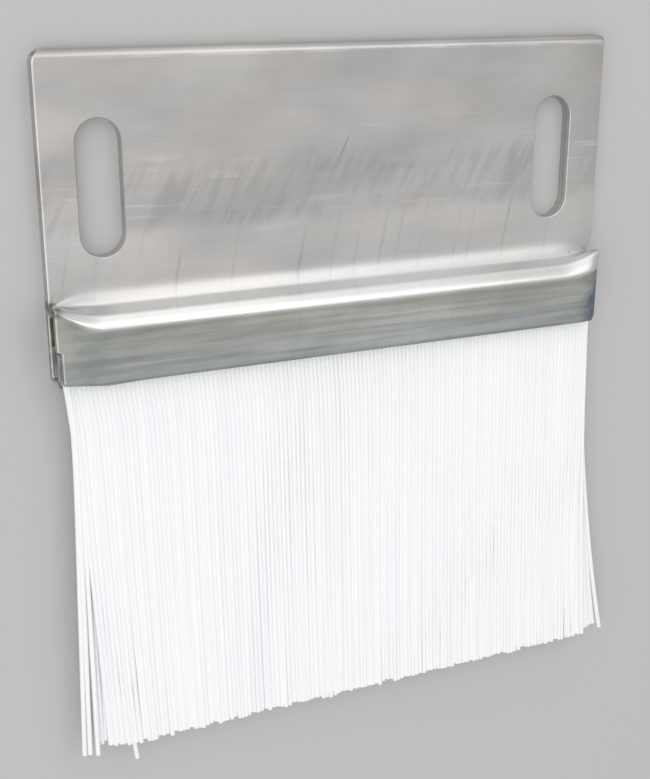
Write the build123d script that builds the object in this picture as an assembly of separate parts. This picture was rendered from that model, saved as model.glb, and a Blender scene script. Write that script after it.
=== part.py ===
from build123d import *
import math
import os
import random

# Brush seal strip lying on its back: a steel sheet folded double carries two slots for screws,
# and its lower legs grip a strip brush. X runs along the strip, +Y from the bristles to the
# fold, +Z out of the front face. The rear face lies on Z = 0 and the origin is midway between
# the slots. Distances called "drop" run down the strip from the folded edge.

# Holder sheet
slot_spacing = 81.0
left_margin = 9.25
right_margin = 9.75
sheet = 1.2
fold_gap = 0.08
left_corner_radius = 2.0
right_corner_radius = 1.0
lower_corner_radius = 1.0

# Slots for the screws
slot_width = 7.2
slot_length = 21.3
slot_top_margin = 10.1

# Hood that the front layer is pressed into. Each corner of its front skin has a drop, a height
# over the flange, and the length that its bend takes from either run. The leg's height follows
# from the brush channel inside.
flat_front_drop = 35.0
cove_drop = 36.8
cove_bend = 1.6
crease_drop = 38.55
crease_height = 1.02
crease_bend = 0.25
shoulder_drop = 40.22
shoulder_height = 3.57
shoulder_bend = 0.58
brow_drop = 41.3
brow_excess = 0.05
brow_bend = 0.58
front_leg_drop = 50.65

# The same corners at the hood's two ends, which the press left standing up like ears. The right
# end stops short of the flange's end and is squeezed a little towards the rear layer.
ear_length = 8.0
ear_valley_drop = 39.0
ear_valley_bend = 0.25
ear_wall_drop = 38.45
ear_wall_height = 0.9
ear_wall_bend = 0.1
ear_tip_drop = 37.3
ear_tip_height = 2.7
ear_brow_bend = 0.7
left_tip_bend = 1.05
left_brow_drop = 38.7
left_leg_shortfall = 0.6
right_tip_bend = 1.79
right_brow_drop = 40.6
right_leg_shortfall = 0.1
right_squeeze = 0.7
hood_right_inset = 0.6

# Front leg's right corner, and the notch in its left end that shows the brush channel
leg_corner_radius = 1.4
notch_width = 0.75
notch_height = 6.1
notch_corner_radius = 0.4

# Lower edge of the rear layer, crimped towards the brush from a little above the front leg's edge
crimp_rise = 0.5
crimp_length = 1.5
crimp_bend = 0.5
crimp_clearance = 0.1

# Channel of the strip brush
channel_sheet = 0.4
channel_gap = 0.14
channel_recess = 0.75
channel_depth = 5.4
channel_crown_width = 3.9
channel_crown_radius = 1.5
channel_mouth_width = 2.9
channel_left_inset = 0.3
channel_right_inset = 2.4

# Filaments, folded round a wire
wire_diameter = 1.1
wire_clearance = 0.05
row_offset = 0.58
filament_diameter = 0.76
filament_pitch = 0.93
row_clearance = 0.03
filament_root_depth = 1.5
filament_bend_length = 12.5
filament_length = 68.9
trim_scatter = 1.2
brush_inset = 1.05
left_bend = 1.4
left_flare = -1.3
right_bend = 1.2
right_flare = 7.4
tip_spread = 0.4
core_shortfall = 2.4

holder_thickness = 2 * sheet + fold_gap
fold_y = slot_top_margin + slot_length / 2
left_x = -slot_spacing / 2 - left_margin
right_x = slot_spacing / 2 + right_margin
hood_right_x = right_x - hood_right_inset
front_leg_height = channel_crown_width + 2 * channel_gap - fold_gap
channel_height = sheet + channel_gap + channel_crown_width / 2
crimp_drop = front_leg_drop - crimp_rise
crimp_height = channel_height - row_offset - filament_diameter / 2 - crimp_clearance
channel_mouth_drop = front_leg_drop - channel_recess
channel_crown_drop = channel_mouth_drop - channel_depth
filament_root_drop = channel_mouth_drop - filament_root_depth
filament_bend_drop = channel_mouth_drop + filament_bend_length
filament_tip_drop = channel_mouth_drop + filament_length
core_tip_drop = filament_tip_drop - core_shortfall


def at_drop(drop):
    """Y of a place that lies this far down the strip from the folded edge."""
    return fold_y - drop


def in_section(points, x):
    """Points of a section, each a place along Y and a height, in the plane across the strip at x."""
    return [Vector(x, point.X, point.Y) for point in points]


def along_strip(section, left_inset, right_inset):
    """A section across the strip, extruded from one end to the other, short of both."""
    length = right_x - left_x - left_inset - right_inset
    return Pos(left_x + left_inset, 0, 0) * extrude(Plane.YZ * section, length)


def bent_sheet(corners, bends, thickness, x):
    """Section of a bent sheet at x. Each corner of its front skin has a drop and a height, and
    each bend takes the given length from either run that meets there."""
    points = [Vector(at_drop(drop), height) for drop, height in corners]
    runs = [(b - a).normalized() for a, b in zip(points, points[1:])]
    behind = [Vector(-run.Y, run.X) for run in runs]
    radii = []
    back_radii = []
    back_points = [points[0] + behind[0] * thickness]
    for point, bend, before, after in zip(points[1:], bends, behind, behind[1:]):
        half_turn = math.acos(before.dot(after)) / 2
        radius = bend / math.tan(half_turn)
        turns_back = before.cross(after).Z > 0
        radii.append(radius)
        back_radii.append(radius - thickness if turns_back else radius + thickness)
        back_points.append(point + (before + after) * (thickness / (1 + before.dot(after))))
    back_points.append(points[-1] + behind[-1] * thickness)
    skin = FilletPolyline(*in_section(points, x), radius=radii)
    back = FilletPolyline(*in_section(back_points, x), radius=back_radii)
    ends = [Line(skin @ 0, back @ 0), Line(skin @ 1, back @ 1)]
    return make_face(skin.edges() + back.edges() + ends)


def blend(middle, end, share):
    return middle + (end - middle) * share


def hood_section(x, share, tip_bend, ear_brow_drop, leg_shortfall, squeeze):
    """Front layer below the flange at x, where share runs from 0, as pressed, to 1, at the ear."""
    leg_height = front_leg_height - squeeze
    pressed = [
        (flat_front_drop, 0),
        (cove_drop, 0),
        (crease_drop, crease_height),
        (shoulder_drop, shoulder_height),
        (brow_drop, leg_height + brow_excess),
        (front_leg_drop, leg_height),
    ]
    ear = [
        (flat_front_drop, 0),
        (ear_valley_drop, 0),
        (ear_wall_drop, ear_wall_height),
        (ear_tip_drop, ear_tip_height),
        (ear_brow_drop, leg_height),
        (front_leg_drop - leg_shortfall, leg_height),
    ]
    corners = [
        (blend(a_drop, b_drop, share), holder_thickness + blend(a_height, b_height, share))
        for (a_drop, a_height), (b_drop, b_height) in zip(pressed, ear)
    ]
    bends = [
        blend(cove_bend, ear_valley_bend, share),
        blend(crease_bend, ear_wall_bend, share),
        blend(shoulder_bend, tip_bend, share),
        blend(brow_bend, ear_brow_bend, share),
    ]
    return bent_sheet(corners, bends, sheet, x)


def ear(end_x, pressed_x, tip_bend, brow, leg_shortfall, squeeze):
    """The last stretch of the hood on one side, where its shoulder rises ever more steeply."""
    steps = 5
    sections = []
    for step in range(steps + 1):
        along = step / steps
        x = blend(pressed_x, end_x, along)
        here = squeeze * along**8
        sections.append(hood_section(x, along * along, tip_bend, brow, leg_shortfall, here))
    return loft(sections)


def hood_outline():
    """The hood's outline from the front, with its rounded corner and the notch on the left."""
    height = front_leg_drop - flat_front_drop
    middle_y = at_drop(flat_front_drop) - height / 2
    outline = Pos((left_x + hood_right_x) / 2, middle_y) * Rectangle(hood_right_x - left_x, height)
    right_corner = outline.vertices().sort_by(Axis.Y)[:2].sort_by(Axis.X)[-1]
    outline = fillet(right_corner, leg_corner_radius)
    notch = Rectangle(2 * notch_width, 2 * notch_height)
    outline -= Pos(left_x, at_drop(front_leg_drop)) * notch
    notch_corner = outline.vertices().sort_by(Axis.X)[:2].sort_by(Axis.Y)[0]
    return fillet(notch_corner, notch_corner_radius)


def hood():
    left_pressed_x = left_x + ear_length
    right_pressed_x = hood_right_x - ear_length
    left_shape = (left_tip_bend, left_brow_drop, left_leg_shortfall)
    right_shape = (right_tip_bend, right_brow_drop, right_leg_shortfall)
    pressed = hood_section(left_pressed_x, 0, *left_shape, 0)
    shoulder = extrude(pressed, right_pressed_x - left_pressed_x, dir=(1, 0, 0))
    shoulder += ear(left_x, left_pressed_x, *left_shape, 0)
    shoulder += ear(hood_right_x, right_pressed_x, *right_shape, right_squeeze)
    return shoulder & extrude(hood_outline(), 2 * (holder_thickness + front_leg_height))


def right_front_edge():
    """The flat front layer's edge beside the right ear."""
    length = ear_valley_drop - ear_valley_bend - flat_front_drop
    edge = Box(hood_right_inset, length, sheet, align=(Align.MAX, Align.MAX, Align.MAX))
    return Pos(right_x, at_drop(flat_front_drop), holder_thickness) * edge


def flange():
    """Front and rear layers, joined by the hairpin fold along the upper edge."""
    fold_centre = at_drop(holder_thickness / 2)
    run = fold_centre - at_drop(flat_front_drop)
    middle_y = fold_centre - run / 2
    middle = holder_thickness / 2
    section = Pos(fold_centre, middle) * Circle(middle)
    section += Pos(middle_y, middle) * Rectangle(run, holder_thickness)
    section -= Pos(fold_centre, middle) * Circle(fold_gap / 2)
    section -= Pos(middle_y, middle) * Rectangle(run, fold_gap)
    return along_strip(section, 0, 0)


def rear_leg():
    """The rear layer behind the hood, its lower edge crimped forward under the brush channel."""
    turn = math.asin((crimp_height - sheet) / crimp_length)
    corners = [
        (flat_front_drop, sheet),
        (crimp_drop, sheet),
        (crimp_drop + crimp_length * math.cos(turn), crimp_height),
    ]
    section = bent_sheet(corners, [crimp_bend], sheet, left_x)
    return extrude(section, right_x - left_x, dir=(1, 0, 0))


def slot_positions():
    return [side * slot_spacing / 2 for side in (-1, 1)]


def blank_outline(lowest_y):
    """The sheet's outline from the front, down to its lowest edge, with its corners rounded off."""
    height = fold_y - lowest_y
    outline = Pos((left_x + right_x) / 2, lowest_y + height / 2) * Rectangle(right_x - left_x, height)
    left_top, right_top = outline.vertices().sort_by(Axis.Y)[-2:].sort_by(Axis.X)
    outline = fillet(left_top, left_corner_radius)
    right_top = outline.vertices().sort_by(Axis.Y)[-3:].sort_by(Axis.X)[-1]
    outline = fillet(right_top, right_corner_radius)
    return fillet(outline.vertices().sort_by(Axis.Y)[:2], lower_corner_radius)


def folded_holder():
    rear = rear_leg()
    holder = flange() + rear + hood() + right_front_edge()
    outline = blank_outline(rear.bounding_box().min.Y)
    holder &= extrude(outline, 2 * (holder_thickness + front_leg_height), both=True)
    for x in slot_positions():
        slot = SlotOverall(slot_length, slot_width, rotation=90)
        holder -= Pos(x, 0, 0) * extrude(slot, 2 * holder_thickness, both=True)
    return holder


def channel_outline(set_in):
    """The brush channel's section, taken in from its outer skin by the given thickness."""
    crown = at_drop(channel_crown_drop + set_in)
    mouth = at_drop(channel_mouth_drop)
    crown_half = channel_crown_width / 2 - set_in
    mouth_half = channel_mouth_width / 2 - set_in
    outline = Polyline(
        (mouth, channel_height - mouth_half),
        (crown, channel_height - crown_half),
        (crown, channel_height + crown_half),
        (mouth, channel_height + mouth_half),
        close=True,
    )
    section = make_face(outline)
    crown_corners = section.vertices().sort_by(Axis.X)[-2:]
    return fillet(crown_corners, channel_crown_radius - set_in)


def brush_channel():
    section = channel_outline(0) - channel_outline(channel_sheet)
    return along_strip(section, channel_left_inset, channel_right_inset)


def wire_drop():
    """Drop of the wire's axis, which leaves room for the filaments over the wire."""
    return channel_crown_drop + channel_sheet + wire_clearance + filament_diameter + wire_diameter / 2


def core_wire():
    section = Pos(at_drop(wire_drop()), channel_height) * Circle(wire_diameter / 2)
    return along_strip(section, brush_inset, brush_inset)


def row_height(drop):
    """Distance of either row of filaments from the brush's middle plane, at a drop."""
    share = (drop - channel_mouth_drop) / (filament_tip_drop - channel_mouth_drop)
    return row_offset + tip_spread * max(share, 0)


def side_x(side, drop):
    """X of the brush's left or right edge at a drop: drawn in below the holder, then flared."""
    if side < 0:
        edge, bend, flare = left_x + brush_inset, left_bend, left_flare
    else:
        edge, bend, flare = right_x - brush_inset, right_bend, right_flare
    if drop <= filament_bend_drop:
        share = max(drop - filament_root_drop, 0) / (filament_bend_drop - filament_root_drop)
        return edge + bend * share
    share = (drop - filament_bend_drop) / (filament_tip_drop - filament_bend_drop)
    return edge + blend(bend, flare, share)


def core_slab(drop):
    """The filament core's rectangle at a drop, between the two rows."""
    half_thickness = row_height(drop) - filament_diameter / 2 - row_clearance
    left, right = side_x(-1, drop), side_x(1, drop)
    plane = Plane((0, at_drop(drop), channel_height), x_dir=(1, 0, 0), z_dir=(0, -1, 0))
    return plane * Pos((left + right) / 2, 0) * Rectangle(right - left, 2 * half_thickness)


def filament_core():
    """The brush's inner filaments as one body, looped over the wire."""
    ring = Pos(at_drop(wire_drop()), channel_height) * Circle(wire_diameter / 2 + filament_diameter)
    ring = along_strip(ring, brush_inset, brush_inset)
    drops = (wire_drop(), filament_root_drop, filament_bend_drop, core_tip_drop)
    for upper, lower in zip(drops, drops[1:]):
        ring += loft([core_slab(upper), core_slab(lower)], ruled=True)
    return ring - core_wire()


def filament(stations):
    """One filament: a six-sided thread through its stations, each an x, a drop and a height."""
    sections = []
    for x, drop, height in stations:
        plane = Plane((x, at_drop(drop), height), x_dir=(1, 0, 0), z_dir=(0, -1, 0))
        sections.append(plane * RegularPolygon(filament_diameter / 2, 6))
    return loft(sections, ruled=True)


def filament_row(side, seed):
    """One row of separate filaments, in front of the core or behind it, trimmed unevenly."""
    scatter = random.Random(seed)
    width = right_x - left_x - 2 * brush_inset - filament_diameter
    count = int(width / filament_pitch) + 1
    row = []
    for index in range(count):
        across = index / (count - 1)
        tip_drop = filament_tip_drop - trim_scatter * scatter.random()
        stations = []
        for drop in (filament_root_drop, filament_bend_drop, tip_drop):
            left = side_x(-1, drop) + filament_diameter / 2
            right = side_x(1, drop) - filament_diameter / 2
            height = channel_height + side * row_height(drop)
            stations.append((left + (right - left) * across, drop, height))
        row.append(filament(stations))
    return Compound(row)


nodes = {
    "folded_holder": folded_holder(),
    "brush_channel": brush_channel(),
    "core_wire": core_wire(),
    "filament_core": filament_core(),
    "front_filaments": filament_row(1, seed=11),
    "rear_filaments": filament_row(-1, seed=23),
}
os.makedirs("parts", exist_ok=True)
for name, shape in nodes.items():
    export_step(shape, f"parts/{name}.step")
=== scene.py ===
import math

import bpy
from mathutils import Matrix, Vector


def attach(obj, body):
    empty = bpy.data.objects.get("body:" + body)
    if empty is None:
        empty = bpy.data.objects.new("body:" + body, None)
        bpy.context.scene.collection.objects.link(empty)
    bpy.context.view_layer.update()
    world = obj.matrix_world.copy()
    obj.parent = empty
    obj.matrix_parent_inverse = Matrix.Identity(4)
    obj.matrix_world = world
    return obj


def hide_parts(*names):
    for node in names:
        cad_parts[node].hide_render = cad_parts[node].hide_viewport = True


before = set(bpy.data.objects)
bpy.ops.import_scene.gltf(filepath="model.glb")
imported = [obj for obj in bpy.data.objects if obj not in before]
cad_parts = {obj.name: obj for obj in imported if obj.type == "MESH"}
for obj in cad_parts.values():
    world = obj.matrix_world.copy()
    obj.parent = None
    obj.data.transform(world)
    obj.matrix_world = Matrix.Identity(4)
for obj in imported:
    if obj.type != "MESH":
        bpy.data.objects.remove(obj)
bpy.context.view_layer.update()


# Holder
# One sheet of satin stainless steel, 1.2 mm thick. It is folded double along its upper edge, and
# the front layer is pressed forward into a hood whose two ends the press left standing as ears.
# Distances called "drop" run down the strip from the folded edge.
mm = 0.001
sheet = 1.2 * mm
fold_gap = 0.08 * mm
doubled = 2 * sheet + fold_gap
fold_y = 20.75 * mm
left_x = -49.75 * mm
right_x = 50.25 * mm
top_left_corner = 2.0 * mm
top_right_corner = 1.0 * mm
slot_x = 40.5 * mm
slot_width = 7.2 * mm
slot_length = 21.3 * mm
flat_end = 35.0 * mm
ear_length = 8.0 * mm
ear_right_x = 49.65 * mm
ear_crease = 38.7 * mm
leg_end = 50.65 * mm
leg_corner = 1.4 * mm
notch_width = 0.75 * mm
notch_top = 44.55 * mm
lip_start = 50.15 * mm
lip_length = 1.5 * mm
lip_height = 2.23 * mm
lip_end = lip_start + lip_length * 0.726
lip_corner = 1.0 * mm
edge_round = 0.1 * mm

# Corners of the hood's front skin in mm, each a drop and a height, and the bends between them.
# The press formed the ends further than the middle. The brow is corner 4.
pressed_corners = [(35.0, 0), (36.8, 0), (38.55, 1.02), (39.85, 3.0), (41.55, 4.22), (50.65, 4.1)]
pressed_bends = [1.6, 0.35, 0.35, 0.85]
left_ear_corners = [(35.0, 0), (39.0, 0), (38.45, 0.9), (37.25, 3.0), (37.8, 4.0), (50.05, 4.1)]
left_ear_bends = [0.25, 0.1, 0.45, 0.5]
right_ear_corners = [(35.0, 0), (39.0, 0), (38.45, 0.9), (36.75, 2.75), (40.6, 3.4), (50.55, 3.4)]
right_ear_bends = [0.25, 0.1, 1.79, 0.7]
brow = 4


def mixed(a, b, share):
    return a + (b - a) * share


def bent_sheet(corners, bends, rows_per_bend, run_shares):
    """Rows along a bent sheet: each is a place (Y, Z) on its front skin and the way to its back.

    The way is shorter than 1 where a bend is too tight for the sheet's full thickness. It then
    reaches nine tenths of the way to the bend's centre.
    """
    points = [Vector((fold_y - drop * mm, height * mm)) for drop, height in corners]
    runs = [(b - a).normalized() for a, b in zip(points, points[1:])]
    stops = [points[0]]
    arcs = []
    for corner, bend, before, after in zip(points[1:], bends, runs, runs[1:]):
        stops += [corner - before * bend * mm, corner + after * bend * mm]
        turn = math.atan2(before.x * after.y - before.y * after.x, before.dot(after))
        radius = bend * mm / math.tan(abs(turn) / 2)
        room = min(1, radius * 0.9 / sheet) if turn > 0 else 1
        arcs.append((before, turn, radius, room))
    stops.append(points[-1])
    rooms = [1] + [arc[3] for arc in arcs] + [1]
    rows = []
    for index, run in enumerate(runs):
        start, end = stops[2 * index], stops[2 * index + 1]
        behind = Vector((-run.y, run.x))
        for share in run_shares[index]:
            room = rooms[index] if share == 0 else rooms[index + 1] if share == 1 else 1
            rows.append((mixed(start, end, share), behind * room))
        if index == len(arcs):
            break
        before, turn, radius, room = arcs[index]
        side = math.copysign(1, turn)
        middle = end + Vector((-before.y, before.x)) * side * radius
        for step in range(1, rows_per_bend):
            angle = turn * step / rows_per_bend
            way = Vector(
                (
                    before.x * math.cos(angle) - before.y * math.sin(angle),
                    before.x * math.sin(angle) + before.y * math.cos(angle),
                )
            )
            outward = Vector((-way.y, way.x)) * -side
            rows.append((middle + outward * radius, Vector((-way.y, way.x)) * room))
    return rows


def hood_rows(x):
    """Rows of the front layer below the flange, at a place along the strip."""
    left_share = max(0, (left_x + ear_length - x) / ear_length)
    right_share = max(0, (x - ear_right_x + ear_length) / ear_length)
    if left_share > 0:
        ends, end_bends, along, growth = left_ear_corners, left_ear_bends, left_share, 1.6
    else:
        ends, end_bends, along, growth = right_ear_corners, right_ear_bends, right_share, 2
    along = min(along, 1)
    share = along**growth
    squeeze = along**8
    corners = []
    for index, (pressed, end) in enumerate(zip(pressed_corners, ends)):
        squeezed = index >= brow and ends is right_ear_corners
        drop = mixed(pressed[0], end[0], share)
        height = mixed(pressed[1], end[1], squeeze if squeezed else share)
        corners.append((drop, doubled / mm + height))
    # The leg's lower edge dips near its left end
    dip = 0.26 * math.exp(-(((x / mm + 41) / 3.2) ** 2))
    corners[-1] = (corners[-1][0] + dip, corners[-1][1])
    bends = [mixed(a, b, share) for a, b in zip(pressed_bends, end_bends)]
    leg_top = corners[brow][0] + bends[brow - 1]
    leg_length = corners[-1][0] - leg_top
    notch_share = (notch_top / mm - leg_top) / leg_length
    edge_share = 1 - edge_round / mm / leg_length
    beside_notch = [notch_share + 0.03, 0.8, 0.92, edge_share]
    run_shares = [
        [0, 1],
        [0, 1],
        [0, 0.5, 1],
        [0, 1],
        [0, 0.1, notch_share - 0.012, notch_share] + beside_notch,
    ]
    return bent_sheet(corners, bends, rows_per_bend=8, run_shares=run_shares)


def rear_rows():
    """Rows of the rear layer, from the flat to its crimped lip, each on its inner skin."""
    turn = math.asin((lip_height - sheet) / lip_length)
    corners = [
        (flat_end / mm, sheet / mm),
        (lip_start / mm, sheet / mm),
        ((lip_start + lip_length * math.cos(turn)) / mm, lip_height / mm),
    ]
    flat_shares = [0, 0.5, 0.8, 0.95, 1]
    lip_shares = [0, 1 - edge_round / lip_length * 1.5]
    return bent_sheet(corners, [0.5], rows_per_bend=6, run_shares=[flat_shares, lip_shares])


def sheet_rows(x):
    """Rows round the whole sheet at x: outer place, inner place, from the rear lip to the leg."""
    rows = []
    for inner, behind in reversed(rear_rows()):
        rows.append((inner + behind * sheet, inner))
    fold_drops = (1.7 * mm, 2.1 * mm, 12 * mm)
    for drop in reversed(fold_drops):
        rows.append((Vector((fold_y - drop, 0)), Vector((fold_y - drop, sheet))))
    middle = Vector((fold_y - doubled / 2, doubled / 2))
    fold_steps = 14
    for step in range(fold_steps + 1):
        angle = math.pi * (step / fold_steps - 0.5)
        way = Vector((math.cos(angle), math.sin(angle)))
        rows.append((middle + way * doubled / 2, middle + way * fold_gap / 2))
    for drop in fold_drops:
        rows.append((Vector((fold_y - drop, doubled)), Vector((fold_y - drop, doubled - sheet))))
    for outer, behind in hood_rows(x):
        rows.append((outer, outer + behind * sheet))
    return rows


rows_at = {}


def rows_for(x):
    """The sheet's rows at x, worked out once for each place."""
    micrometre = round(x * 1e6)
    if micrometre not in rows_at:
        rows_at[micrometre] = sheet_rows(x)
    return rows_at[micrometre]


rear_count = len(rear_rows())
row_count = len(rows_for(0))
rows_beside_notch = 4
notch_row = row_count - rows_beside_notch


def corner_inset(radius, to_edge):
    """How far a rounded corner stands in, at this distance from the edge that it ends on."""
    return radius - math.sqrt(max(0, radius**2 - max(0, radius - to_edge) ** 2))


def end_inset(row, drop, side):
    """How far the sheet's left or right end stands in at a row."""
    top_corner = top_left_corner if side < 0 else top_right_corner
    if drop < top_corner:
        return corner_inset(top_corner, drop)
    if row < rear_count:
        return corner_inset(lip_corner, lip_end - drop)
    if side < 0:
        return notch_width if row >= notch_row else 0
    short = right_x - ear_right_x if drop > ear_crease else 0
    return short + corner_inset(leg_corner, leg_end - drop)


ear_shares = [0, 0.0125, 0.05, 0.1, 0.15, 0.2, 0.25, 0.3, 0.35, 0.4]
ear_shares += [0.45, 0.5, 0.55, 0.6, 0.65, 0.7, 0.8, 0.9]
middle_columns = 18
middle_start = left_x + ear_length
middle_end = ear_right_x - ear_length
outer_skin, inner_skin = [], []
for row in range(row_count):
    left_drop = fold_y - rows_for(left_x)[row][0].x
    right_drop = fold_y - rows_for(ear_right_x)[row][0].x
    left_end = left_x + end_inset(row, left_drop, -1)
    right_end = right_x - end_inset(row, right_drop, 1)
    columns = [mixed(left_end, middle_start, share) for share in ear_shares]
    for step in range(middle_columns + 1):
        columns.append(mixed(middle_start, middle_end, step / middle_columns))
    columns += [mixed(right_end, middle_end, share) for share in reversed(ear_shares)]
    outer_skin.append([])
    inner_skin.append([])
    for column, x in enumerate(columns):
        outer, inner = rows_for(x)[row]
        if column in (0, len(columns) - 1):
            toward = (inner - outer).normalized() * edge_round
            outer, inner = outer + toward, inner - toward
        outer_skin[-1].append((x, outer.x, outer.y))
        inner_skin[-1].append((x, inner.x, inner.y))


def rounded_edge(row, row_above):
    """Two more rows beyond this one, which round the sheet's lower edge on both skins."""
    outer_row, inner_row = [], []
    for outer, inner, above in zip(outer_skin[row], inner_skin[row], outer_skin[row_above]):
        outer, inner, above = Vector(outer), Vector(inner), Vector(above)
        on = outer - above
        on.x = 0
        on.normalize()
        toward = (inner - outer).normalized() * edge_round
        outer_row.append(tuple(outer + on * edge_round + toward))
        inner_row.append(tuple(inner + on * edge_round - toward))
    return outer_row, inner_row


lip_outer, lip_inner = rounded_edge(0, 1)
leg_outer, leg_inner = rounded_edge(-1, -2)
outer_skin = [lip_outer] + outer_skin + [leg_outer]
inner_skin = [lip_inner] + inner_skin + [leg_inner]
rows_count = len(outer_skin)
columns_count = len(outer_skin[0])
vertices = [vertex for row in outer_skin + inner_skin for vertex in row]


def at(row, column, inner=False):
    """A vertex's number, by its row, its column and its skin."""
    return (row + (rows_count if inner else 0)) * columns_count + column


faces = []
right = columns_count - 1
for row in range(rows_count - 1):
    under = row + 1
    for column in range(columns_count - 1):
        beside = column + 1
        round_outer = ((row, column), (row, beside), (under, beside), (under, column))
        round_inner = ((row, column), (under, column), (under, beside), (row, beside))
        faces.append([at(*corner) for corner in round_outer])
        faces.append([at(*corner, inner=True) for corner in round_inner])
    faces.append([at(row, 0), at(under, 0), at(under, 0, True), at(row, 0, True)])
    faces.append([at(row, right), at(row, right, True), at(under, right, True), at(under, right)])
low = rows_count - 1
for column in range(columns_count - 1):
    beside = column + 1
    faces.append([at(0, column), at(0, column, True), at(0, beside, True), at(0, beside)])
    faces.append([at(low, column), at(low, beside), at(low, beside, True), at(low, column, True)])

holder_mesh = bpy.data.meshes.new("steel_holder")
holder_mesh.from_pydata(vertices, [], faces)
holder_mesh.validate()
holder = bpy.data.objects.new("steel_holder", holder_mesh)
bpy.context.scene.collection.objects.link(holder)


def slot_punch(x):
    """A round-ended punch for one slot, flared a little where it leaves the sheet's two faces."""
    half_turn_steps = 24
    outline = []
    for end, start_angle in ((1, 0), (-1, math.pi)):
        for step in range(half_turn_steps + 1):
            angle = start_angle + math.pi * step / half_turn_steps
            outline.append((math.cos(angle), math.sin(angle), end))
    flare = 0.12 * mm
    beyond = 1 * mm
    levels = [
        (-beyond, flare + beyond),
        (flare, 0),
        (doubled - flare, 0),
        (doubled + beyond, flare + beyond),
    ]
    half_straight = (slot_length - slot_width) / 2
    points = []
    for height, more in levels:
        radius = slot_width / 2 + more
        for across, along, end in outline:
            points.append((x + across * radius, end * half_straight + along * radius, height))
    ring = len(outline)
    walls = []
    for level in range(len(levels) - 1):
        first, above = level * ring, (level + 1) * ring
        for step in range(ring):
            after = (step + 1) % ring
            walls.append((first + step, first + after, above + after, above + step))
    walls.append(tuple(reversed(range(ring))))
    walls.append(tuple((len(levels) - 1) * ring + step for step in range(ring)))
    punch_mesh = bpy.data.meshes.new("slot_punch")
    punch_mesh.from_pydata(points, [], walls)
    punch = bpy.data.objects.new("slot_punch", punch_mesh)
    bpy.context.scene.collection.objects.link(punch)
    return punch


punches = [slot_punch(side * slot_x) for side in (-1, 1)]
for punch in punches:
    cut = holder.modifiers.new("slot", "BOOLEAN")
    cut.operation = "DIFFERENCE"
    cut.solver = "EXACT"
    cut.object = punch
weighted = holder.modifiers.new("normals", "WEIGHTED_NORMAL")
weighted.keep_sharp = True
weighted.weight = 100


def baked(piece):
    """The piece with its modifiers worked into a plain mesh."""
    bpy.context.view_layer.update()
    evaluated = piece.evaluated_get(bpy.context.evaluated_depsgraph_get())
    mesh = bpy.data.meshes.new_from_object(evaluated)
    piece.modifiers.clear()
    piece.data = mesh
    return mesh


holder_mesh.set_sharp_from_angle(angle=math.radians(50))
holder_mesh = baked(holder)
for punch in punches:
    bpy.data.objects.remove(punch)


class Value:
    """A socket of a node tree. Reckoning with it adds the Math nodes."""

    def __init__(self, tree, socket=None):
        self.tree = tree
        self.socket = socket

    def node(self, kind, inputs=None, output=0, stops=None, **settings):
        made = self.tree.nodes.new(kind)
        for name, setting in settings.items():
            setattr(made, name, setting)
        if stops:
            elements = made.color_ramp.elements
            while len(elements) < len(stops):
                elements.new(0.5)
            for element, (position, grey) in zip(elements, stops):
                element.position = position
                element.color = (grey, grey, grey, 1)
        for name, value in (inputs or {}).items():
            if isinstance(value, Value):
                self.tree.links.new(value.socket, made.inputs[name])
            else:
                made.inputs[name].default_value = value
        return Value(self.tree, made.outputs[output])

    def other_output(self, name):
        return Value(self.tree, self.socket.node.outputs[name])

    def reckon(self, operation, *values):
        return self.node("ShaderNodeMath", dict(enumerate(values)), operation=operation)

    def __add__(self, other):
        return self.reckon("ADD", self, other)

    def __radd__(self, other):
        return self.reckon("ADD", other, self)

    def __sub__(self, other):
        return self.reckon("SUBTRACT", self, other)

    def __rsub__(self, other):
        return self.reckon("SUBTRACT", other, self)

    def __mul__(self, other):
        return self.reckon("MULTIPLY", self, other)

    def __rmul__(self, other):
        return self.reckon("MULTIPLY", other, self)

    def __truediv__(self, other):
        return self.reckon("DIVIDE", self, other)

    def __pow__(self, other):
        return self.reckon("POWER", self, other)


def new_finish(name):
    """A material, its first value to build on, and its shader."""
    finish = bpy.data.materials.new(name)
    finish.use_nodes = True
    return finish, Value(finish.node_tree), finish.node_tree.nodes["Principled BSDF"]


def ramp_up(value, low, high):
    """Smooth step from 0 at low to 1 at high."""
    return value.node(
        "ShaderNodeMapRange",
        {"Value": value, "From Min": low, "From Max": high},
        interpolation_type="SMOOTHSTEP",
    )


def ramp_down(value, low, high):
    """Smooth step from 1 at low to 0 at high."""
    return 1 - ramp_up(value, low, high)


def between(value, start, full, fading, end):
    """Smooth hump: 0 up to start, 1 from full to fading, and 0 from end on."""
    return ramp_up(value, start, full) * ramp_down(value, fading, end)


def streaks(place, along, across, lean, detail=2.0, seed=0.0):
    """Grain whose features are long by "along" mm and wide by "across" mm, turned by "lean"."""
    turned = place.node(
        "ShaderNodeMapping",
        {"Vector": place, "Rotation": (0, 0, -math.radians(lean)), "Location": (seed, seed, seed)},
    )
    drawn = place.node(
        "ShaderNodeVectorMath",
        {0: turned, 1: (1000 / along, 1000 / across, 1000 / across)},
        operation="MULTIPLY",
    )
    return place.node("ShaderNodeTexNoise", {"Vector": drawn, "Scale": 1.0, "Detail": detail})


def blended(factor, a, b):
    """Colour a turning into colour b. Sockets 6 and 7 are the Mix node's two colours."""
    return factor.node(
        "ShaderNodeMix", {0: factor, 6: a, 7: b}, output=2, data_type="RGBA", clamp_factor=True
    )


holder_steel, steel, steel_shader = new_finish("holder_steel")
place = steel.node("ShaderNodeTexCoord", output="Object")
axes = place.node("ShaderNodeSeparateXYZ", {0: place})
x_mm = axes.other_output("X") * 1000
z_mm = axes.other_output("Z") * 1000
drop_mm = 20.75 - axes.other_output("Y") * 1000

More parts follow.
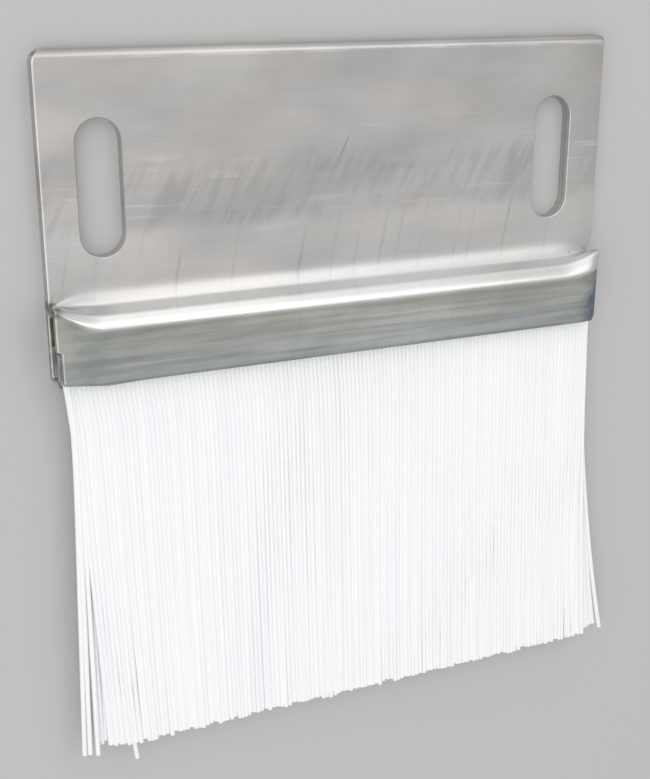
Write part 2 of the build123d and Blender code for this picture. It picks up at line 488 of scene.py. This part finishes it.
# Rolled sheet: cloudy patches, warm and cool, with fine grain along the strip
clouds = streaks(place, 18, 8, 6, 5.0)
grain = streaks(place, 22, 0.35, 1, 3.0)
fine_grain = streaks(place, 3.5, 0.12, -2, 2.0, seed=0.31)
tint = streaks(place, 30, 11, -8, 2.0, seed=0.77)
cool_flange = (0.575, 0.585, 0.58, 1)
warm_flange = (0.635, 0.615, 0.59, 1)
flange_colour = blended(ramp_up(tint, 0.38, 0.62), cool_flange, warm_flange)

# The hood's front leg is darker: partly its own greenish tone, partly painted shade for the dark
# surroundings that it reflects. It starts below the brow, which stands higher at both ears.
leg_tint = streaks(place, 34, 1.3, 0, 3.0, seed=0.13)
leg_low = ramp_up(drop_mm, 44.5, 48.5)
leg_dark = blended(leg_low, (0.40, 0.42, 0.38, 1), (0.37, 0.39, 0.39, 1))
leg_light = blended(leg_low, (0.53, 0.55, 0.50, 1), (0.49, 0.51, 0.51, 1))
leg_colour = blended(ramp_up(leg_tint, 0.36, 0.64), leg_dark, leg_light)
left_ear = ramp_down(x_mm, left_x / mm - 1, middle_start / mm) ** 1.5
right_ear = ramp_up(x_mm, middle_end / mm, ear_right_x / mm + 1) ** 2
below_brow = drop_mm - 41.7 + left_ear * 3.9 + right_ear * 0.9
on_leg = ramp_up(below_brow, -0.4, 0.7)
colour = blended(on_leg, flange_colour, leg_colour)
leg_patches = streaks(place, 6, 2.4, 8, 4.0, seed=8.3)

# Painted reflections where the leg's ends twist and turn away: a paler painted sheen on the left
# end with dark patches of painted shade beside it, a painted dark face under the left ear's tip,
# and a dark blue painted falloff along the right end
uneven_x = x_mm + (leg_patches - 0.5) * 4
end_sheen = on_leg * ramp_down(uneven_x, -49, -46.5) * ramp_down(drop_mm, 43, 48)
colour = blended(end_sheen * 0.7, colour, (0.58, 0.58, 0.51, 1))
tip_shade = ramp_down(x_mm, -49.3, -48.0) * between(drop_mm, 37.6, 37.9, 38.7, 39.6)
colour = blended(tip_shade * 0.8, colour, (0.18, 0.20, 0.18, 1))
patchy_end_shade = on_leg * between(x_mm, -48, -46, -44, -38) * ramp_up(leg_patches, 0.42, 0.6)
colour = blended(patchy_end_shade * 0.45, colour, (0.27, 0.31, 0.31, 1))
# Painted dark blue falloff where the leg's right end turns away from the light
falloff_noise = streaks(place, 2.2, 1.6, 20, 3.0, seed=7.7)
right_falloff = on_leg * ramp_up(x_mm + (falloff_noise - 0.5) * 5, 45.2, 49.8)
colour = blended(right_falloff, colour, (0.17, 0.20, 0.25, 1))
brown_line = between(below_brow, 0.6, 1.0, 1.3, 1.9) * ramp_up(x_mm, -20, 20)
colour = blended(brown_line * 0.6, colour, (0.36, 0.33, 0.32, 1))

# Light rubs along the strip, and faint dark scratches and smears that lean to the right, from use
worked = between(drop_mm, 10, 17, 26, 29)
rubs = ramp_up(streaks(place, 13, 0.8, -2, 2.0, seed=1.7), 0.54, 0.76)
rub_patches = ramp_up(streaks(place, 26, 5, 0, 1.0, seed=2.9), 0.38, 0.55)
rubbed = worked * rubs * rub_patches
scratched = between(drop_mm, 15, 20, 27, 29)
scratch_patches = ramp_up(streaks(place, 12, 9, 0, 2.0, seed=4.1), 0.34, 0.55)
smears = ramp_up(streaks(place, 9, 1.3, 62, 3.0, seed=3.3), 0.42, 0.64)
hairlines = ramp_up(streaks(place, 10, 0.17, 64, 2.0, seed=5.3), 0.54, 0.72)

# One deep scratch stands apart, right of the middle
off_deep_line = (x_mm - 0.4) * 0.89 + (drop_mm - 16.3) * 0.454
deep = between(off_deep_line, -0.16, 0.0, 0.0, 0.2) * between(drop_mm, 13.4, 15.8, 17.4, 19.2)
scratch = scratched * scratch_patches * (smears * 0.42 + hairlines * 0.5) + deep * 1.4

# Drag marks of the press, from the flange into the hood
marks_at = [-47, -42, -35, -28.5, -19, -7.4, -1.5, 2.8, 7.3, 10.4, 14.9, 21.8, 24.5, 31.6, 40.6]
along_strip = (x_mm - (33 - drop_mm) * 0.2 + 50) / 100
uneven = ramp_up(streaks(place, 9, 5, 84, 3.0, seed=9.1), 0.3, 0.62)
pressed_zone = uneven * ramp_up(drop_mm, 25.5, 29.5) * (1 - ramp_up(drop_mm, 34.5, 39.0) * 0.75)


def thin_lines(share, places_mm):
    """A colour ramp from one end of the strip to the other, with a thin line at each place."""
    half_line = 0.0028
    stops = [(0, 0)]
    for place_mm in places_mm:
        peak = (place_mm + 50) / 100
        stops += [(peak - half_line, 0), (peak, 1), (peak + half_line, 0)]
    stops.append((1, 0))
    return share.node("ShaderNodeValToRGB", {0: share}, stops=stops)


# A ramp holds 32 stops, so the marks take two
mark = thin_lines(along_strip, marks_at[:8]) + thin_lines(along_strip, marks_at[8:])
mark = mark * pressed_zone

# Painted highlights and shade on rounded edges: a painted highlight and a painted dark line along
# the fold's curve, a painted highlight on the ridge, which the press burnished smoother, and a
# painted highlight with a painted shadow line along the leg's lower edge
fold_glints = ramp_up(streaks(place, 7, 1.2, 0, 2.0, seed=6.1), 0.4, 0.6)
fold_highlight = fold_glints * between(drop_mm, 0.95, 1.3, 1.3, 1.7)
fold_shade = between(drop_mm, 0.15, 0.55, 0.55, 1.0)
smooth_ridge_highlight = ramp_up(z_mm, 5.9, 6.4) * ramp_down(below_brow, 0.2, 0.9) * (1 - right_ear)
leg_edge_highlight = between(drop_mm, 49.2, 49.9, 49.9, 50.2)
leg_edge_shadow = ramp_up(drop_mm, 50.15, 50.5)

# How light the steel is: each mark, and each painted highlight or shade, adds or takes its share
below = ramp_up(drop_mm, 25.5, 29)
left_part = ramp_down(x_mm, -42, 0)
right_part = ramp_up(x_mm, 0, 40)
leg_foot = on_leg * ramp_up(drop_mm, 44, 48)
shade = (
    0.95
    + below * 0.12
    + (clouds - 0.5) * 0.4
    + (grain - 0.5) * 0.1
    + rubbed * 0.16
    - scratch * 0.24
    - mark * 0.26
    + fold_highlight * 0.2
    - fold_shade * 0.34
    + smooth_ridge_highlight * 0.18
    + leg_edge_highlight * 0.06
    - leg_edge_shadow * 0.2
    # Painted shade: the leg darker on its left half, most at the top, its foot a little darker on
    # the right, and the right ear darker, which evens out the lamps' reflections on them
    - on_leg * left_part * 0.2
    - leg_foot * (right_part * 0.08 - left_part * 0.1)
    - right_ear * 0.1
    + on_leg * (leg_patches - 0.5) * 0.3
)
toned = colour.node("ShaderNodeVectorMath", {0: colour, "Scale": shade}, operation="SCALE")
dull = 0.34 + (clouds - 0.5) * 0.12 + (grain - 0.5) * 0.06
dull = dull - rubbed * 0.04 + mark * 0.06 - smooth_ridge_highlight * 0.06
relief = fine_grain * 0.5 + grain * 0.3 - scratch * 0.4
bump = relief.node("ShaderNodeBump", {"Height": relief, "Strength": 0.07, "Distance": 0.00006})
steel.tree.links.new(toned.socket, steel_shader.inputs["Base Color"])
steel.tree.links.new(dull.socket, steel_shader.inputs["Roughness"])
steel.tree.links.new(bump.socket, steel_shader.inputs["Normal"])
steel_shader.inputs["Metallic"].default_value = 1.0
holder_mesh.materials.clear()
holder_mesh.materials.append(holder_steel)
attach(holder, "root")
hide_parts("folded_holder")


# Brush channel and core wire
# The strip brush's own channel of thin steel sheet, and the wire that its filaments are folded
# round. The holder's two legs grip the channel, and only the left ends of both show.
def plain_steel(name, colour, roughness):
    finish, base, shader = new_finish(name)
    place = base.node("ShaderNodeTexCoord", output="Object")
    shade = 0.9 + streaks(place, 6, 0.4, 0, 2.0) * 0.2
    toned = base.node("ShaderNodeVectorMath", {0: colour, "Scale": shade}, operation="SCALE")
    finish.node_tree.links.new(toned.socket, shader.inputs["Base Color"])
    shader.inputs["Metallic"].default_value = 1.0
    shader.inputs["Roughness"].default_value = roughness
    return finish


channel_steel = plain_steel("channel_steel", (0.40, 0.40, 0.39), 0.42)
wire_steel = plain_steel("wire_steel", (0.42, 0.42, 0.41), 0.35)
for name, finish, slot in (
    ("brush_channel", channel_steel, "channel_steel"),
    ("core_wire", wire_steel, "wire_steel"),
):
    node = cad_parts[name]
    node.data.materials.clear()
    node.data.materials.append(finish)


# Filaments
# Straight white nylon filaments, 0.8 mm thick, folded over the wire and trimmed by machine. They
# stand five deep, close together at the holder, and fan out a little to the right.
nylon, nylon_base, nylon_shader = new_finish("nylon")
thread_place = nylon_base.node("ShaderNodeTexCoord", output="Object")
thread_shades = ramp_up(streaks(thread_place, 1.4, 60, 0, 2.0), 0.3, 0.7)
thread_tint = blended(thread_shades, (0.92, 0.93, 0.95, 1), (0.965, 0.965, 0.96, 1))
nylon.node_tree.links.new(thread_tint.socket, nylon_shader.inputs["Base Color"])
nylon_shader.inputs["Roughness"].default_value = 0.38

brush_tree = bpy.data.node_groups.new("filament_bunch", "GeometryNodeTree")
brush_sizes = {
    "Count": 126,
    "Sides": 8,
    "Seed": 1,
    "Thickness": 0.84 * mm,
    "Root Drop": 48.0 * mm,
    "Length": 69.9 * mm,
    "Trim": 0.9 * mm,
    "Left Root": -48.0 * mm,
    "Right Root": 49.0 * mm,
    "Draw": 1.4 * mm,
    "Left Flare": -0.2 * mm,
    "Left Sweep": 0.0,
    "Right Flare": 3.2 * mm,
    "Right Sweep": 4.8 * mm,
    "Height": 3.91 * mm,
    "Spread": 0.45 * mm,
    "Wander": 0.4 * mm,
    "Shift": 0.0,
}
brush_tree.interface.new_socket(name="Geometry", in_out="INPUT", socket_type="NodeSocketGeometry")
for name, size in brush_sizes.items():
    kind = "NodeSocketInt" if isinstance(size, int) else "NodeSocketFloat"
    made = brush_tree.interface.new_socket(name=name, in_out="INPUT", socket_type=kind)
    made.default_value = size
brush_tree.interface.new_socket(name="Geometry", in_out="OUTPUT", socket_type="NodeSocketGeometry")
given = brush_tree.nodes.new("NodeGroupInput")
result = brush_tree.nodes.new("NodeGroupOutput")
size = {name: Value(brush_tree, given.outputs[name]) for name in brush_sizes}

# Each filament is a line of 15 points, numbered 0 to 14. The last one only rounds off its tip.
bunch = Value(brush_tree)
tip_point = 14
line = bunch.node("GeometryNodeCurvePrimitiveLine", {"End": (0, -1, 0)})
line = bunch.node("GeometryNodeResampleCurve", {"Curve": line, "Count": tip_point + 1})
copies = bunch.node(
    "GeometryNodeDuplicateElements", {0: line, "Amount": size["Count"]}, domain="SPLINE"
)
number = copies.other_output("Duplicate Index")
point = bunch.node("GeometryNodeSplineParameter") * tip_point
tip = bunch.reckon("MAXIMUM", point - (tip_point - 1), 0.0)
tip_share = 0.004
down = bunch.reckon("MINIMUM", point / (tip_point - 1), 1.0) * (1 - tip_share) + tip * tip_share


def chance(low, high, shift):
    """A number that differs from filament to filament."""
    return bunch.node(
        "FunctionNodeRandomValue",
        {2: low, 3: high, "ID": number, "Seed": size["Seed"] + shift},
        output=1,
        data_type="FLOAT",
    )


def waves(places, detail):
    """Noise around 0 that neighbouring filaments share."""
    noise = bunch.node("ShaderNodeTexNoise", {"Vector": places, "Scale": 1.0, "Detail": detail})
    return noise - 0.5


# Across the strip: where each filament leaves the holder, and how it fans out and wanders
across = (number + size["Shift"]) / bunch.reckon("MAXIMUM", size["Count"] - 1, 1.0)
gripped = 0.045
free = bunch.reckon("MAXIMUM", down - gripped, 0.0) / (1 - gripped)
root = size["Left Root"] + (size["Right Root"] - size["Left Root"]) * across
drawn_in = size["Draw"] * (1 - across) * (1 - bunch.reckon("EXPONENT", free * -16))
flare = (size["Left Flare"] + (size["Right Flare"] - size["Left Flare"]) * across) * free
sweep = (size["Right Sweep"] * across**1.5 + size["Left Sweep"] * (1 - across) ** 4) * free**2
clump_place = bunch.node("ShaderNodeCombineXYZ", {"X": across * 23, "Y": 0.0, "Z": 0.0})
lean = (waves(clump_place, 2.0) * 2.2 + chance(-0.3, 0.3, 1)) * size["Wander"] * down**1.5
bow = chance(-0.15, 0.15, 2) * size["Wander"] * bunch.reckon("SINE", down * math.pi)
place_x = root + drawn_in + flare + sweep + lean + bow

# Along it and out of it: the unevenly cut tips, a little shorter at the left, and the height
cut_place = bunch.node(
    "ShaderNodeCombineXYZ", {"X": across * 41, "Y": size["Seed"] * 5.7, "Z": 0.0}
)
cut = waves(cut_place, 1.0) * 2.3 - chance(0.0, 0.7, 3)
shorter = bunch.reckon("EXPONENT", across * -50) * (0.8 * mm)
reach = size["Length"] + size["Trim"] * cut - shorter
place_y = fold_y - size["Root Drop"] - reach * down
rise = (size["Spread"] + chance(-0.15, 0.15, 4) * mm) * down
place_z = size["Height"] + rise

spot = bunch.node("ShaderNodeCombineXYZ", {"X": place_x, "Y": place_y, "Z": place_z})
threads = bunch.node("GeometryNodeSetPosition", {"Geometry": copies, "Position": spot})
threads = bunch.node("GeometryNodeSetCurveRadius", {"Curve": threads, "Radius": 1 + tip * 0.1})
ring = bunch.node(
    "GeometryNodeCurvePrimitiveCircle",
    {"Resolution": size["Sides"], "Radius": size["Thickness"] / 2},
)
tubes = bunch.node(
    "GeometryNodeCurveToMesh", {"Curve": threads, "Profile Curve": ring, "Fill Caps": True}
)
tubes = bunch.node("GeometryNodeSetShadeSmooth", {0: tubes, "Shade Smooth": True})
tubes = bunch.node("GeometryNodeRealizeInstances", {0: tubes})
tubes = bunch.node("GeometryNodeSetMaterial", {0: tubes, "Material": nylon})
brush_tree.links.new(tubes.socket, result.inputs[0])


def filament_piece(name, stands_for, **sizes):
    """One layer of filaments, grown from the tree with these sizes."""
    piece = bpy.data.objects.new(name, bpy.data.meshes.new(name))
    bpy.context.scene.collection.objects.link(piece)
    grown = piece.modifiers.new("grown", "NODES")
    grown.node_group = brush_tree
    for item in brush_tree.interface.items_tree:
        plain_name = item.name.replace(" ", "_").lower()
        if item.in_out == "INPUT" and plain_name in sizes:
            grown[item.identifier] = sizes[plain_name]
    mesh = baked(piece)
    mesh.set_sharp_from_angle(angle=math.radians(60))
    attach(piece, "root")
    if stands_for:
        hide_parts(stands_for)


filament_piece(
    "front_layer",
    "front_filaments",
    seed=3,
    left_sweep=2.4 * mm,
    right_flare=1.2 * mm,
    right_sweep=1.4 * mm,
)
filament_piece(
    "second_layer",
    "filament_core",
    seed=5,
    height=3.85 * mm,
    spread=0.42 * mm,
    shift=0.5,
    count=125,
    length=69.7 * mm,
    left_sweep=1.6 * mm,
    right_flare=1.8 * mm,
    right_sweep=2.2 * mm,
)
filament_piece(
    "middle_layer",
    None,
    seed=6,
    height=3.3 * mm,
    spread=0.0,
    length=69.4 * mm,
    right_flare=2.6 * mm,
    right_sweep=3.6 * mm,
)
filament_piece(
    "fourth_layer",
    None,
    seed=7,
    height=2.8 * mm,
    spread=-0.3 * mm,
    shift=0.5,
    count=125,
    length=69.2 * mm,
    right_sweep=4.6 * mm,
)
filament_piece(
    "rear_layer",
    "rear_filaments",
    seed=8,
    height=2.67 * mm,
    spread=-0.4 * mm,
    length=69.4 * mm,
    right_flare=3.4 * mm,
    right_sweep=5.0 * mm,
)

# Strays: three that stand apart at the left end, one that crosses to the right, and the outermost
for name, root_x, draw, flare_x, sweep_x, height, length in (
    ("left_stray_a", -48.6, 1.5, -2.35, 0.0, 4.0, 70.7),
    ("left_stray_b", -48.1, 1.2, -1.6, 0.0, 4.1, 70.7),
    ("left_stray_c", -47.5, 0.8, -0.4, 0.0, 4.0, 71.3),
    ("crossing_stray", -47.4, 0.0, 7.3, 0.0, 3.5, 74.2),
    ("right_stray", 48.9, 0.0, 3.6, 5.9, 2.9, 70.8),
):
    filament_piece(
        name,
        None,
        count=1,
        left_root=root_x * mm,
        draw=draw * mm,
        left_flare=flare_x * mm,
        left_sweep=sweep_x * mm,
        height=height * mm,
        spread=0.2 * mm,
        length=length * mm,
        wander=0.0,
        trim=0.0,
    )


# Floor
# A plain pale floor that the strip lies on.
floor_mesh = bpy.data.meshes.new("floor")
half_floor = 3.0
turns = ((-1, -1), (1, -1), (1, 1), (-1, 1))
floor_corners = [(x * half_floor, y * half_floor, 0) for x, y in turns]
floor_mesh.from_pydata(floor_corners, [], [(0, 1, 2, 3)])
floor = bpy.data.objects.new("floor", floor_mesh)
bpy.context.scene.collection.objects.link(floor)
floor_paint, _, floor_shader = new_finish("floor_paint")
floor_shader.inputs["Base Color"].default_value = (0.52, 0.52, 0.52, 1)
floor_shader.inputs["Roughness"].default_value = 0.9
floor_mesh.materials.append(floor_paint)


# Camera
# It stands where the photograph was taken: in front of the strip's left half and a little
# above its folded edge, which on a strip that lies on its back means high over the floor.
image_height = 779
focal_length = 1256.2
camera_place = Vector((-0.08683, 0.03228, 0.19066))
camera_right = Vector((0.91385, 0.0, 0.40606))
camera_up = Vector((0.13003, 0.94735, -0.29262))
camera_data = bpy.data.cameras.new("photo_camera")
camera_data.sensor_fit = "AUTO"
camera_data.sensor_width = 36.0
camera_data.lens = camera_data.sensor_width * focal_length / image_height
camera_data.clip_start = 0.01
camera_data.clip_end = 20.0
camera = bpy.data.objects.new("photo_camera", camera_data)
bpy.context.scene.collection.objects.link(camera)
camera_right.normalize()
camera_back = camera_right.cross(camera_up).normalized()
camera_up = camera_back.cross(camera_right)
camera_turn = Matrix((camera_right, camera_up, camera_back)).transposed().to_4x4()
camera.matrix_world = Matrix.Translation(camera_place) @ camera_turn
bpy.context.scene.camera = camera


# Light
# A soft lamp overhead that draws the bright bands along the hood, a broader one on the left, a
# pale panel behind the folded edge, and an even surround.
surround = bpy.data.worlds.new("studio")
bpy.context.scene.world = surround
surround.use_nodes = True
surround.node_tree.nodes["Background"].inputs["Color"].default_value = (1, 1, 1, 1)
surround.node_tree.nodes["Background"].inputs["Strength"].default_value = 0.665


def soft_lamp(name, stands_at, facing, width, length, brightness):
    """A rectangular lamp that looks this bright from the strip."""
    lamp_data = bpy.data.lights.new(name, "AREA")
    lamp_data.shape = "RECTANGLE"
    lamp_data.size = width
    lamp_data.size_y = length
    lamp_data.energy = brightness * math.pi * width * length
    lamp = bpy.data.objects.new(name, lamp_data)
    bpy.context.scene.collection.objects.link(lamp)
    lamp_turn = (-Vector(facing)).to_track_quat("Z", "Y").to_matrix().to_4x4()
    lamp.matrix_world = Matrix.Translation(stands_at) @ lamp_turn


soft_lamp("key_lamp", (0.47, 1.24, 1.0), (0, 0, -1), 0.6, 2.0, 1.14)
soft_lamp("left_lamp", (-0.85, 0.0, 1.0), (0, 0, -1), 1.5, 2.2, 0.81)
soft_lamp("back_panel", (0.6, 2.4, 0.8), (0, -1, 0), 3.6, 1.6, 0.43)

bpy.context.scene.view_settings.view_transform = "Standard"
